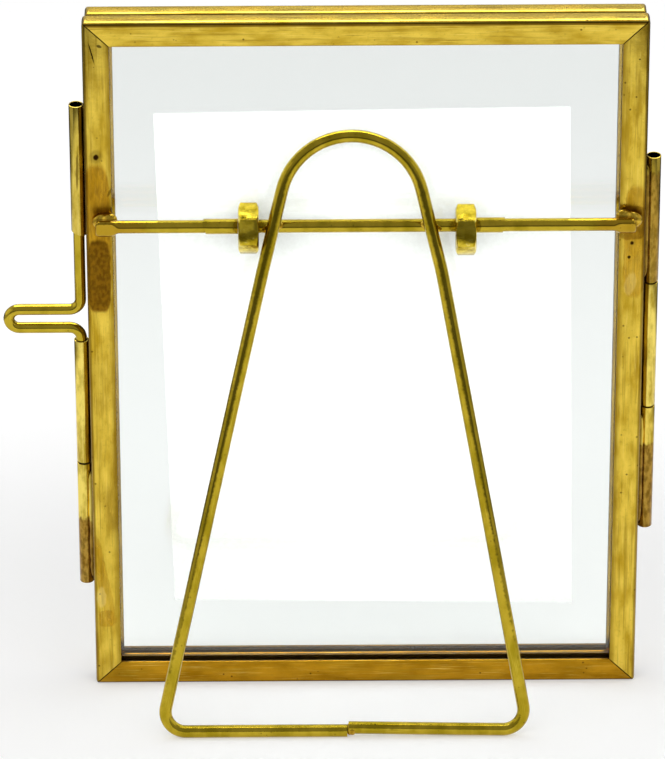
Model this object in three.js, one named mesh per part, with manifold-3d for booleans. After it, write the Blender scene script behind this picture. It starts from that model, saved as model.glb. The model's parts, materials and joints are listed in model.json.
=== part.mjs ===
// A picture frame of folded brass channel: two glazed leaves, hinged along the right side and latched
// along the left, that hold a small print between their panes. A bent wire easel turns in two nuts on a
// crossbar behind it. Millimetres, +Z up. The easel is at -Y and the picture faces +Y.

import * as THREE from 'three';
import { mergeVertices } from 'three/addons/utils/BufferGeometryUtils.js';
import Module from 'manifold-3d';

const wasm = await Module();
wasm.setup();

// ---------------------------------------------------------------- driving dimensions

// Leaves, of U channel folded from sheet and mitred at the corners.
const LEAF_WIDTH = 87.0;
const LEAF_HEIGHT = 119.6;
const RAIL_FACE = 4.1;
const SHEET = 0.5;
const FOLD_INNER = 0.1;
const CORNER_ROUND = 0.8;
const MITRE_GAP = 0.12;
const LEAF_GAP = 0.1;
const FRONT_LEAF_INSET = 0.4;

// Panes, and the print that they hold.
const GLASS = 1.5;
const GLASS_EDGE_GAP = 0.4;
const GLASS_SEAT_GAP = 0.05;
const GLASS_PLAY = 0.45;
const CARD_SIDE_MARGIN = 7.65;
const CARD_END_MARGIN = 11.25;
const CARD_PANE_GAP = 0.35;
const CARD_ACROSS = 0.35;
const CARD_BELOW_MIDDLE = 1.1;
const CARD_TURN = THREE.MathUtils.degToRad(1.1);

// Round wire of the hinge pin and of the latch pin with its finger loop.
const PIN_DIAMETER = 1.76;
const PIN_CLEARANCE = 0.07;
const HINGE_PIN_SHORT = 1.2;
const LOOP_GAP = 1.5;
const LOOP_REACH = 11.3;
const LOOP_BEND = 1.8;
const LOOP_REST_GAP = 0.3;
const LATCH_PIN_END_GAP = 1.2;
const LATCH_PIN_OVERLAP = 11.0;

// Hinge and latch tubes, soldered to the leaves' sides. Drops are from mid height to the lowest ends.
const TUBE_WALL = 0.2;
const TUBE_LENGTH = 22.1;
const TUBE_END_GAP = 0.3;
const TUBE_SIDE_GAP = 0.05;
const HINGE_DROP = 32.0;
const LATCH_DROP = 41.85;
const LATCH_BARE_PIN = 13.8;
const LATCH_TOP_TUBE_LENGTH = 22.5;
const LATCH_TOP_TUBE_SLANT = 0.7;
const SOLDER_SIZE = 0.9;
const SOLDER_END = 1.5;

// Crossbar: two rods with their ends built out to the rails, ferrules and hexagon nuts.
const PIVOT_BELOW_TOP = 34.15;
const ROD_DIAMETER = 2.05;
const ROD_END_INSET = 1.6;
const ROD_FLARE = 1.4;
const PADDLE_LENGTH = 2.4;
const PADDLE_WIDTH = 2.9;
const PADDLE_BEHIND_AXIS = 0.7;
const PADDLE_GAP = 0.15;
const FERRULE_DIAMETER = 2.25;
const FERRULE_WALL = 0.25;
const SPIGOT_CLEARANCE = 0.05;
const SPIGOT_END_GAP = 0.3;
const FERRULE_LEFT = 5.2;
const FERRULE_RIGHT = 4.3;
const NUT_FLATS = 7.0;
const NUT_THICKNESS = 3.2;
const NUT_CHAMFER = 0.7;
const NUT_BEHIND_AXIS = 0.8;
const NUT_LEFT_LIFT = 0.12;
const NUT_RIGHT_LIFT = -0.35;
const NUT_TURN = THREE.MathUtils.degToRad(17.5);
const NUT_PANE_GAP = 0.2;
const NUT_LEG_GAP_LEFT = 1.15;
const NUT_LEG_GAP_RIGHT = 2.8;

// Easel: one bent wire, soldered across a spindle that turns in the nuts.
const SPINDLE_DIAMETER = 2.1;
const SPINDLE_CLEARANCE = 0.08;
const SPINDLE_END_GAP = 0.3;
const WIRE_DIAMETER = 2.0;
const WIRE_GAP = 0.05;
const EASEL_ACROSS = -2.2;
const LEAN = THREE.MathUtils.degToRad(15.0);
const ARCH_PANE_GAP = 0.22;
const ARCH_RADIUS = 11.1;
const ARCH_RISE = 14.6;
const SHOULDER_SPLAY = THREE.MathUtils.degToRad(13.5);
const SHOULDER_DROP = 7.0;
const SHOULDER_BEND = 40.0;
const FOOT_LEFT = 30.4;
const FOOT_RIGHT = 27.4;
const FOOT_BEND = 3.2;
const BUTT_ACROSS = -0.9;
const BUTT_GAP = 0.2;
const BUTT_STEP = 0.5;

const ROUND_SIDES = 24;
const WIRE_SIDES = 16;

// ---------------------------------------------------------------- places that follow from them

const foldOuter = FOLD_INNER + SHEET;
const leafDepth = 2 * SHEET + GLASS_SEAT_GAP + GLASS + GLASS_PLAY;
const leafMeeting = leafDepth + LEAF_GAP / 2;
const paneFromFace = SHEET + GLASS_PLAY;

const cardWidth = LEAF_WIDTH - 2 * (RAIL_FACE + CARD_SIDE_MARGIN);
const cardHeight = LEAF_HEIGHT - 2 * (RAIL_FACE + CARD_END_MARGIN);
const cardThickness = 2 * (SHEET + GLASS_SEAT_GAP - CARD_PANE_GAP) + LEAF_GAP;
const cardUp = LEAF_HEIGHT / 2 - CARD_BELOW_MIDDLE;

const tubeBore = PIN_DIAMETER + 2 * PIN_CLEARANCE;
const tubeOuter = tubeBore + 2 * TUBE_WALL;
const tubeAcross = LEAF_WIDTH / 2 + TUBE_SIDE_GAP + tubeOuter / 2;
const tubePitch = TUBE_LENGTH + TUBE_END_GAP;

const hingeUp = LEAF_HEIGHT / 2 - HINGE_DROP;
const latchUp = LEAF_HEIGHT / 2 - LATCH_DROP;
const loopRise = PIN_DIAMETER + LOOP_GAP;
const loopUp = latchUp + tubePitch + TUBE_LENGTH + LOOP_REST_GAP + LOOP_BEND;
const latchTopTubeUp = loopUp + loopRise + LATCH_BARE_PIN;

const nutCorner = NUT_FLATS / Math.sqrt(3);
const nutReach = nutCorner * Math.cos(Math.PI / 6 - NUT_TURN);
const pivotUp = LEAF_HEIGHT - PIVOT_BELOW_TOP;
const pivotBehind = nutReach - NUT_BEHIND_AXIS - paneFromFace + NUT_PANE_GAP;
const rodEnd = LEAF_WIDTH / 2 - ROD_END_INSET;
const paddleDepth = PADDLE_BEHIND_AXIS + pivotBehind - PADDLE_GAP;

const wireBehindSpindle = (SPINDLE_DIAMETER + WIRE_DIAMETER) / 2 + WIRE_GAP;
const archApex = ARCH_RISE - ARCH_RADIUS + ARCH_RADIUS / Math.sin(SHOULDER_SPLAY);
const legOuter = archApex * Math.tan(SHOULDER_SPLAY) + WIRE_DIAMETER / 2;
const nutLeftFace = EASEL_ACROSS - legOuter - NUT_LEG_GAP_LEFT;
const nutRightFace = EASEL_ACROSS + legOuter + NUT_LEG_GAP_RIGHT;

// The easel opens until its arch meets the rear pane.
const archSetBack = WIRE_DIAMETER / 2 + ARCH_PANE_GAP - paneFromFace - pivotBehind;
const openAngle =
  Math.acos(archSetBack / Math.hypot(wireBehindSpindle, ARCH_RISE)) -
  Math.atan2(ARCH_RISE, wireBehindSpindle);

// The legs end where the foot and the frame's rounded rear bottom edge stand on one level surface.
const legDrop =
  ((pivotUp + wireBehindSpindle * Math.sin(openAngle) - foldOuter) * Math.cos(LEAN) -
    (pivotBehind + wireBehindSpindle * Math.cos(openAngle) + foldOuter) * Math.sin(LEAN) -
    (WIRE_DIAMETER / 2 - foldOuter)) /
  Math.cos(openAngle - LEAN);

// ---------------------------------------------------------------- materials

const brass = (color, roughness = 0.34) => () =>
  new THREE.MeshStandardMaterial({ color, roughness, metalness: 1.0 });
const railBrass = brass(0xb9962f);
const tubeBrass = brass(0xc9a94e, 0.3);
const wireBrass = brass(0x9c8424, 0.36);
const nutBrass = brass(0xb8a232, 0.32);
const windowGlass = () =>
  new THREE.MeshStandardMaterial({ color: 0xe6ecea, roughness: 0.04, transparent: true, opacity: 0.3 });
const cardPaper = () => new THREE.MeshStandardMaterial({ color: 0xfafafa, roughness: 0.75, metalness: 0.0 });

// ---------------------------------------------------------------- helpers

function toSolid(geometry) {
  const bare = geometry.clone();
  bare.deleteAttribute('normal');
  bare.deleteAttribute('uv');
  const merged = mergeVertices(bare, 1e-5);
  const vertProperties = new Float32Array(merged.attributes.position.array);
  const triVerts = new Uint32Array(merged.index.array);
  return new wasm.Manifold(new wasm.Mesh({ numProp: 3, vertProperties, triVerts }));
}

function toGeometry(solid) {
  const mesh = solid.getMesh();
  const geometry = new THREE.BufferGeometry();
  geometry.setAttribute('position', new THREE.BufferAttribute(new Float32Array(mesh.vertProperties), 3));
  geometry.setIndex(new THREE.BufferAttribute(new Uint32Array(mesh.triVerts), 1));
  geometry.computeVertexNormals();
  return geometry;
}

function piece(name, geometry, material) {
  const mesh = new THREE.Mesh(geometry, material());
  mesh.name = name;
  return mesh;
}

// Moves each vertex of a geometry by a rule on its own place.
function reshape(geometry, rule) {
  const position = geometry.attributes.position;
  const point = new THREE.Vector3();
  for (let i = 0; i < position.count; i += 1) {
    point.fromBufferAttribute(position, i);
    rule(point);
    position.setXYZ(i, point.x, point.y, point.z);
  }
  geometry.computeVertexNormals();
  return geometry;
}

function block(width, depth, height) {
  return new THREE.BoxGeometry(width, depth, height);
}

// A tube or rod standing on z = 0, from a closed profile of [radius, height] corners.
function turned(profile) {
  const points = [...profile, profile[0]].map(([radius, height]) => new THREE.Vector2(radius, height));
  return new THREE.LatheGeometry(points, ROUND_SIDES).rotateX(Math.PI / 2);
}

function rod(diameter, length) {
  const radius = diameter / 2;
  return turned([[0, 0], [radius, 0], [radius, length], [0, length]]);
}

// A path for round wire: straight runs between corners, each corner an arc of its own radius. Its
// stations are close together on the arcs and only at the ends of the straight runs.
class BentWire extends THREE.Curve {
  constructor(corners) {
    super();
    this.stations = [];
    this.tangents = [];
    const last = corners.length - 1;
    for (let i = 0; i <= last; i += 1) {
      if (i === 0 || i === last) {
        const [from, to] = i === 0 ? [corners[0], corners[1]] : [corners[last - 1], corners[last]];
        this.addStation(corners[i].at.clone(), to.at.clone().sub(from.at).normalize());
      } else {
        this.addBend(corners[i - 1].at, corners[i].at, corners[i + 1].at, corners[i].radius);
      }
    }
  }

  addStation(point, tangent) {
    this.stations.push(point);
    this.tangents.push(tangent);
  }

  addBend(before, corner, after, radius) {
    const incoming = corner.clone().sub(before).normalize();
    const outgoing = after.clone().sub(corner).normalize();
    const angle = incoming.angleTo(outgoing);
    const start = corner.clone().addScaledVector(incoming, -radius * Math.tan(angle / 2));
    const axis = incoming.clone().cross(outgoing).normalize();
    const centre = start.clone().addScaledVector(axis.clone().cross(incoming), radius);
    const steps = Math.max(2, Math.ceil(angle / THREE.MathUtils.degToRad(9)));
    for (let i = 0; i <= steps; i += 1) {
      const turn = (angle * i) / steps;
      const spoke = start.clone().sub(centre).applyAxisAngle(axis, turn);
      this.addStation(centre.clone().add(spoke), incoming.clone().applyAxisAngle(axis, turn));
    }
  }

  getPoint(t, target = new THREE.Vector3()) {
    return target.copy(this.stations[Math.round(t * (this.stations.length - 1))]);
  }

  getSpacedPoints() {
    return this.stations;
  }

  getTangentAt(u, target = new THREE.Vector3()) {
    return target.copy(this.tangents[Math.round(u * (this.stations.length - 1))]);
  }
}

function roundSection(diameter) {
  const section = new THREE.Shape();
  for (let i = 0; i < WIRE_SIDES; i += 1) {
    const angle = (2 * Math.PI * (i + 0.5)) / WIRE_SIDES;
    const across = (diameter / 2) * Math.cos(angle);
    const up = (diameter / 2) * Math.sin(angle);
    if (i === 0) {
      section.moveTo(across, up);
    } else {
      section.lineTo(across, up);
    }
  }
  section.closePath();
  return section;
}

function wireGeometry(corners, diameter) {
  const extrudePath = new BentWire(corners);
  const steps = extrudePath.stations.length - 1;
  return new THREE.ExtrudeGeometry(roundSection(diameter), { steps, extrudePath, bevelEnabled: false });
}

// ---------------------------------------------------------------- leaves

// Section of the channel: x runs in from the outer edge and y from the rear face to the front face.
function channelSection() {
  const inner = SHEET + FOLD_INNER;
  const section = new THREE.Shape();
  section.moveTo(RAIL_FACE, 0);
  section.lineTo(RAIL_FACE, SHEET);
  section.lineTo(inner, SHEET);
  section.absarc(inner, inner, FOLD_INNER, -Math.PI / 2, Math.PI, true);
  section.lineTo(SHEET, leafDepth - inner);
  section.absarc(inner, leafDepth - inner, FOLD_INNER, Math.PI, Math.PI / 2, true);
  section.lineTo(RAIL_FACE, leafDepth - SHEET);
  section.lineTo(RAIL_FACE, leafDepth);
  section.lineTo(foldOuter, leafDepth);
  section.absarc(foldOuter, leafDepth - foldOuter, foldOuter, Math.PI / 2, Math.PI, false);
  section.lineTo(0, foldOuter);
  section.absarc(foldOuter, foldOuter, foldOuter, Math.PI, 1.5 * Math.PI, false);
  section.closePath();
  return section;
}

// A block that a rail is trimmed to, so that the leaf's two corners at its ends are rounded.
function cornerBlock(length) {
  const half = length / 2;
  const outline = new THREE.Shape();
  outline.moveTo(-half, CORNER_ROUND);
  outline.absarc(CORNER_ROUND - half, CORNER_ROUND, CORNER_ROUND, Math.PI, 1.5 * Math.PI, false);
  outline.lineTo(half - CORNER_ROUND, 0);
  outline.absarc(half - CORNER_ROUND, CORNER_ROUND, CORNER_ROUND, -Math.PI / 2, 0, false);
  outline.lineTo(half, 2 * RAIL_FACE);
  outline.lineTo(-half, 2 * RAIL_FACE);
  outline.closePath();
  const depth = 2 * leafDepth;
  const slab = new THREE.ExtrudeGeometry(outline, { depth, bevelEnabled: false, curveSegments: 5 });
  return slab.rotateX(Math.PI / 2).translate(0, 1.5 * leafDepth, 0);
}

// A rail lies along X with its outer edge on z = 0 and its rear face on y = 0. Both ends are mitred.
function railGeometry(length) {
  const channel = new THREE.ExtrudeGeometry(channelSection(), {
    depth: length, steps: 1, bevelEnabled: false, curveSegments: 5,
  });
  channel.rotateY(-Math.PI / 2).translate(length / 2, 0, 0);
  reshape(channel, (point) => {
    point.x = Math.sign(point.x) * (length / 2 - point.z - MITRE_GAP / 2);
  });
  return toGeometry(toSolid(channel).intersect(toSolid(cornerBlock(length))));
}

function leafRails(leafName, width) {
  const places = [
    { side: 'bottom', length: width, across: 0, up: 0, turn: 0 },
    { side: 'top', length: width, across: 0, up: LEAF_HEIGHT, turn: Math.PI },
    { side: 'left', length: LEAF_HEIGHT, across: -width / 2, up: LEAF_HEIGHT / 2, turn: Math.PI / 2 },
    { side: 'right', length: LEAF_HEIGHT, across: width / 2, up: LEAF_HEIGHT / 2, turn: -Math.PI / 2 },
  ];
  return places.map(({ side, length, across, up, turn }) => {
    const rail = piece(`${leafName}_rail_${side}`, railGeometry(length), railBrass);
    rail.position.set(across, 0, up);
    rail.rotation.y = turn;
    return rail;
  });
}

// A pane seats against the inner flange of its leaf, next to the other leaf. setBack is its rear face.
function pane(leafName, width, setBack) {
  const margin = 2 * (SHEET + GLASS_EDGE_GAP);
  const glass = piece(
    `${leafName}_glass`,
    block(width - margin, GLASS, LEAF_HEIGHT - margin),
    windowGlass,
  );
  glass.position.set(0, setBack + GLASS / 2, LEAF_HEIGHT / 2);
  return glass;
}

function pictureCard() {
  const card = piece('picture_card', block(cardWidth, cardThickness, cardHeight), cardPaper);
  card.position.set(CARD_ACROSS, leafMeeting, cardUp);
  card.rotation.y = -CARD_TURN;
  return card;
}

// ---------------------------------------------------------------- hinge and latch tubes

// A tube with the solder that fills the corner between it and its leaf. side is -1 on the left and +1
// on the right, and leafSide is -1 for the rear leaf and +1 for the front leaf.
function sideTube(name, { side, leafSide, up, length = TUBE_LENGTH, slant = 0 }) {
  const outer = turned([[0, 0], [tubeOuter / 2, 0], [tubeOuter / 2, length], [0, length]]);
  reshape(outer, (point) => {
    if (point.z < length / 2) {
      point.z -= (slant * point.x) / tubeOuter;
    }
  });
  const bore = rod(tubeBore, length + 4 * SOLDER_END).translate(0, 0, -2 * SOLDER_END);
  const leafEdge = leafSide < 0 ? LEAF_WIDTH / 2 : LEAF_WIDTH / 2 - FRONT_LEAF_INSET;
  const reach = tubeAcross - leafEdge - TUBE_SIDE_GAP;
  const solder = block(reach, SOLDER_SIZE, length - 2 * SOLDER_END);
  solder.translate((-side * reach) / 2, leafSide * (foldOuter + SOLDER_SIZE / 2), length / 2);
  const solid = toSolid(outer).add(toSolid(solder)).subtract(toSolid(bore));
  const tube = piece(name, toGeometry(solid), tubeBrass);
  tube.position.set(side * tubeAcross, leafMeeting, up);
  return tube;
}

function hingePin() {
  const length = 2 * tubePitch + TUBE_LENGTH - 2 * HINGE_PIN_SHORT;
  const pin = piece('hinge_pin', rod(PIN_DIAMETER, length), wireBrass);
  pin.position.set(tubeAcross, leafMeeting, hingeUp + HINGE_PIN_SHORT);
  return pin;
}

// The latch pin runs down inside the upper tube, out sideways into a flat finger loop and back, and on
// down into the middle tube.
function latchPin() {
  const at = (across, up) => new THREE.Vector3(across, 0, up);
  const turnRadius = 0.499 * loopRise;
  const corners = [
    { at: at(0, latchTopTubeUp + LATCH_PIN_OVERLAP) },
    { at: at(0, loopUp + loopRise), radius: LOOP_BEND },
    { at: at(-LOOP_REACH, loopUp + loopRise), radius: turnRadius },
    { at: at(-LOOP_REACH, loopUp), radius: turnRadius },
    { at: at(0, loopUp), radius: LOOP_BEND },
    { at: at(0, latchUp + tubePitch + LATCH_PIN_END_GAP) },
  ];
  const pin = piece('latch_pin', wireGeometry(corners, PIN_DIAMETER), wireBrass);
  pin.position.set(-tubeAcross, leafMeeting, 0);
  return pin;
}

// ---------------------------------------------------------------- crossbar

const smoothstep = (x) => THREE.MathUtils.smoothstep(x, 0, 1);

// A rod lies along X from its spigot, inside the ferrule, to its end, which is squared up with solder
// and built out to the rail.
function crossbarRod(name, side, ferruleFace, ferruleLength) {
  const start = Math.abs(ferruleFace) + SPIGOT_END_GAP;
  const shoulder = Math.abs(ferruleFace) + ferruleLength;
  const spigot = FERRULE_DIAMETER / 2 - FERRULE_WALL - SPIGOT_CLEARANCE;
  const radius = ROD_DIAMETER / 2;
  const flareStart = rodEnd - PADDLE_LENGTH - ROD_FLARE;
  const profile = [[0, start], [spigot, start], [spigot, shoulder], [radius, shoulder]];
  const steps = 8;
  for (let i = 0; i <= steps; i += 1) {
    profile.push([radius, flareStart + (ROD_FLARE * i) / steps]);
  }
  profile.push([radius, rodEnd], [0, rodEnd]);
  const bar = turned(profile).rotateY((side * Math.PI) / 2);
  const towardRail = paddleDepth / 2 - PADDLE_BEHIND_AXIS;
  reshape(bar, (point) => {
    const share = smoothstep((Math.abs(point.x) - flareStart) / ROD_FLARE);
    point.y *= 1 + share * (paddleDepth / ROD_DIAMETER - 1);
    point.z *= 1 + share * (PADDLE_WIDTH / ROD_DIAMETER - 1);
    point.y += share * towardRail;
  });
  return piece(name, bar, wireBrass);
}

function ferrule(name, side, face, length) {
  const radius = FERRULE_DIAMETER / 2;
  const bore = radius - FERRULE_WALL;
  const start = Math.abs(face) + WIRE_GAP;
  const end = Math.abs(face) + length - WIRE_GAP;
  const sleeve = turned([[bore, start], [radius, start], [radius, end], [bore, end]]);
  return piece(name, sleeve.rotateY((side * Math.PI) / 2), tubeBrass);
}

// A hexagon nut across the X axis, its corners chamfered on both faces. Its bore is off its centre,
// because it is soldered on with the slack all on one side.
function pivotNut(name, side, innerFace, lift) {
  const half = NUT_THICKNESS / 2;
  const prism = new THREE.CylinderGeometry(nutCorner, nutCorner, NUT_THICKNESS, 6).rotateX(Math.PI / 2);
  prism.rotateZ(Math.PI / 6 - NUT_TURN);
  const rim = nutCorner - NUT_CHAMFER;
  const edge = nutCorner + 0.01;
  const slope = half - NUT_CHAMFER / 2;
  const chamfer = turned([
    [0, -half], [rim, -half], [edge, -slope], [edge, slope], [rim, half], [0, half],
  ]);
  const bore = rod(SPINDLE_DIAMETER + 2 * SPINDLE_CLEARANCE, 2 * NUT_THICKNESS);
  bore.translate(0, 0, -NUT_THICKNESS);
  const upright = toSolid(prism).intersect(toSolid(chamfer));
  const shifted = toGeometry(upright).rotateY(Math.PI / 2).translate(0, -NUT_BEHIND_AXIS, lift);
  const drilled = toSolid(shifted).subtract(toSolid(bore.rotateY(Math.PI / 2)));
  const nut = piece(name, toGeometry(drilled), nutBrass);
  nut.position.x = innerFace + side * half;
  return nut;
}

function crossbar() {
  const outerLeft = nutLeftFace - NUT_THICKNESS;
  const outerRight = nutRightFace + NUT_THICKNESS;
  const bar = new THREE.Group();
  bar.position.set(0, -pivotBehind, pivotUp);
  bar.add(
    crossbarRod('crossbar_rod_left', -1, outerLeft, FERRULE_LEFT),
    crossbarRod('crossbar_rod_right', 1, outerRight, FERRULE_RIGHT),
    ferrule('ferrule_left', -1, outerLeft, FERRULE_LEFT),
    ferrule('ferrule_right', 1, outerRight, FERRULE_RIGHT),
    pivotNut('pivot_nut_left', -1, nutLeftFace, NUT_LEFT_LIFT),
    pivotNut('pivot_nut_right', 1, nutRightFace, NUT_RIGHT_LIFT),
  );
  return bar;
}

// ---------------------------------------------------------------- easel

// The wire's centre line: from the butt joint in the foot, left and up round the arch, and back.
function easelCorners() {
  const at = (across, up) => new THREE.Vector3(across, 0, up);
  const shoulder = (archApex + SHOULDER_DROP) * Math.tan(SHOULDER_SPLAY);
  return [
    { at: at(BUTT_ACROSS - BUTT_GAP / 2, -legDrop) },
    { at: at(-FOOT_LEFT, -legDrop), radius: FOOT_BEND },
    { at: at(-shoulder, -SHOULDER_DROP), radius: SHOULDER_BEND },
    { at: at(0, archApex), radius: ARCH_RADIUS },
    { at: at(shoulder, -SHOULDER_DROP), radius: SHOULDER_BEND },
    { at: at(FOOT_RIGHT, -legDrop), radius: FOOT_BEND },
    { at: at(BUTT_ACROSS + BUTT_GAP / 2, BUTT_STEP - legDrop) },
  ];
}

function easel() {
  const wire = piece('easel_wire', wireGeometry(easelCorners(), WIRE_DIAMETER), wireBrass);
  wire.position.set(EASEL_ACROSS, -wireBehindSpindle, 0);
  const left = nutLeftFace - NUT_THICKNESS + SPINDLE_END_GAP;
  const right = nutRightFace + NUT_THICKNESS - SPINDLE_END_GAP;
  const spindle = piece('easel_spindle', rod(SPINDLE_DIAMETER, right - left), wireBrass);
  spindle.rotation.y = Math.PI / 2;
  spindle.position.x = left;
  const turning = new THREE.Group();
  turning.position.set(0, -pivotBehind, pivotUp);
  turning.rotation.x = -openAngle;
  turning.add(wire, spindle);
  return turning;
}

// ---------------------------------------------------------------- the whole frame

function rearLeaf() {
  const leaf = new THREE.Group();
  leaf.add(
    ...leafRails('rear', LEAF_WIDTH),
    pane('rear', LEAF_WIDTH, paneFromFace),
    pictureCard(),
    sideTube('hinge_tube_upper', { side: 1, leafSide: -1, up: hingeUp + 2 * tubePitch }),
    sideTube('hinge_tube_lower', { side: 1, leafSide: -1, up: hingeUp }),
    hingePin(),
    sideTube('latch_tube_lower', { side: -1, leafSide: -1, up: latchUp }),
    crossbar(),
  );
  return leaf;
}

function frontLeaf() {
  const width = LEAF_WIDTH - 2 * FRONT_LEAF_INSET;
  const channels = new THREE.Group();
  channels.position.y = leafDepth + LEAF_GAP;
  channels.add(...leafRails('front', width), pane('front', width, SHEET + GLASS_SEAT_GAP));
  const leaf = new THREE.Group();
  leaf.add(
    channels,
    sideTube('hinge_tube_middle', { side: 1, leafSide: 1, up: hingeUp + tubePitch }),
    sideTube('latch_tube_middle', { side: -1, leafSide: 1, up: latchUp + tubePitch }),
    sideTube('latch_tube_upper', {
      side: -1,
      leafSide: 1,
      up: latchTopTubeUp,
      length: LATCH_TOP_TUBE_LENGTH,
      slant: LATCH_TOP_TUBE_SLANT,
    }),
  );
  return leaf;
}

// The lean puts the frame on its rear bottom edge and the easel's foot. The origin is the middle of the
// stand's footprint, on the surface that it stands on.
function standingFrame() {
  const leaning = new THREE.Group();
  leaning.rotation.x = LEAN;
  leaning.add(rearLeaf(), frontLeaf(), latchPin(), easel());
  leaning.updateMatrixWorld(true);
  const box = new THREE.Box3().setFromObject(leaning, true);
  const middle = box.getCenter(new THREE.Vector3());
  leaning.position.set(-middle.x, -middle.y, -box.min.z);
  const stand = new THREE.Group();
  stand.add(leaning);
  return stand;
}

export default standingFrame();
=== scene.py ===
import json
import math

import bmesh
import bpy
from mathutils import Euler, Matrix, Vector


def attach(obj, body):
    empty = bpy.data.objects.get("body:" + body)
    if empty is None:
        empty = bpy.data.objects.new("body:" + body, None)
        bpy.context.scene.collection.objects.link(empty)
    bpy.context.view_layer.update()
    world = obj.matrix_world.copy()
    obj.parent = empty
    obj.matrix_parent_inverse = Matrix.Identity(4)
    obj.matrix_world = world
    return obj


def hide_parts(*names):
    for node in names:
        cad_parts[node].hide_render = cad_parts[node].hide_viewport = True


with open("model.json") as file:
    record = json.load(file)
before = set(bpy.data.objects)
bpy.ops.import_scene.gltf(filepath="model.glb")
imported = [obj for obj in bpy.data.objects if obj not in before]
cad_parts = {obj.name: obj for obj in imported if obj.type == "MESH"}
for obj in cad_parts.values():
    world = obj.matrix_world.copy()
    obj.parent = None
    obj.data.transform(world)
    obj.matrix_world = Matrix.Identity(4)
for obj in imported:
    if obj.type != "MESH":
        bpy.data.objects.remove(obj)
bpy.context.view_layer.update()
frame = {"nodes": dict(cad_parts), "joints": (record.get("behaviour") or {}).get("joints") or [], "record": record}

# ---------------------------------------------------------------- the leaves' rails
# Each leaf is a frame of thin brass sheet folded to a U channel, mitred and soldered at the corners.
# The folds are rounded, the cut ends keep a small burr, and the whole is rubbed by hand and left to
# tarnish. Torch heat browned it at the crossbar's ends and under the hinge tubes.

MM = 0.001
record = frame["record"]
joints = {joint["name"]: joint for joint in frame["joints"]}
up_the_leaf = -Vector(joints["leaf_hinge"]["axis"])
LEAN = math.atan2(-up_the_leaf.y, up_the_leaf.z)
leaf_turn = Matrix.Rotation(LEAN, 4, "X")
REST_FACE_IN = 1.5
leaf_foot = Vector(record["mounts"][0]["pos_m"]) - leaf_turn @ Vector((0, REST_FACE_IN * MM, 0))
# Leaf millimetres: x across, y from the rear face to the front, z up the leaf.
LEAF = Matrix.Translation(leaf_foot) @ leaf_turn @ Matrix.Scale(MM, 4)

LEAF_WIDTH = 87.0
LEAF_HEIGHT = 119.6
RAIL_FACE = 4.1


def linear(hex_colour):
    """An sRGB hex colour as the linear one that shaders take."""
    parts = [int(hex_colour[i : i + 2], 16) / 255 for i in (1, 3, 5)]
    return tuple(
        p / 12.92 if p <= 0.04045 else ((p + 0.055) / 1.055) ** 2.4 for p in parts
    ) + (1.0,)


def add(tree, kind, ins=None, **settings):
    """Adds a node with its settings. ins gives each input's value, or the socket it is linked to."""
    made = tree.nodes.new(kind)
    for name, value in settings.items():
        setattr(made, name, value)
    for name, value in (ins or {}).items():
        if isinstance(value, bpy.types.NodeSocket):
            tree.links.new(value, made.inputs[name])
        else:
            made.inputs[name].default_value = value
    return made


def start_material(name):
    """A new material with its Principled shader, and the leaf-millimetre coordinates of each point."""
    material = bpy.data.materials.new(name)
    material.use_nodes = True
    tree = material.node_tree
    tree.nodes.clear()
    shader = add(tree, "ShaderNodeBsdfPrincipled")
    add(tree, "ShaderNodeOutputMaterial", {"Surface": shader.outputs[0]})
    where = add(tree, "ShaderNodeTexCoord")
    place = {
        "Vector": where.outputs["Object"],
        "Location": leaf_foot,
        "Rotation": (LEAN, 0, 0),
        "Scale": (MM,) * 3,
    }
    leaf_mm = add(tree, "ShaderNodeMapping", place, vector_type="TEXTURE").outputs[0]
    return material, tree, shader, leaf_mm


def shade(tree, below, above, share, blend="MIX"):
    """Mixes two colours by a share and gives the mixed colour."""
    mix = add(
        tree, "ShaderNodeMix", {0: share, 6: below, 7: above}, data_type="RGBA", blend_type=blend
    )
    return mix.outputs[2]


def grain(tree, leaf_mm, size, detail=3.0, rough=0.55, shift=(0, 0, 0)):
    """Noise whose lumps have the given size in leaf millimetres along x, y and z."""
    scaled = {"Vector": leaf_mm, "Location": shift, "Scale": tuple(1 / s for s in size)}
    moved = add(tree, "ShaderNodeMapping", scaled).outputs[0]
    return add(
        tree,
        "ShaderNodeTexNoise",
        {"Vector": moved, "Scale": 1.0, "Detail": detail, "Roughness": rough},
    ).outputs[0]


def between(tree, value, low, high, to_low=0.0, to_high=1.0, steps="SMOOTHSTEP"):
    """Spreads a value that runs from low to high over to_low to to_high."""
    ins = {"Value": value, "From Min": low, "From Max": high, "To Min": to_low, "To Max": to_high}
    return add(tree, "ShaderNodeMapRange", ins, interpolation_type=steps).outputs[0]


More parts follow.
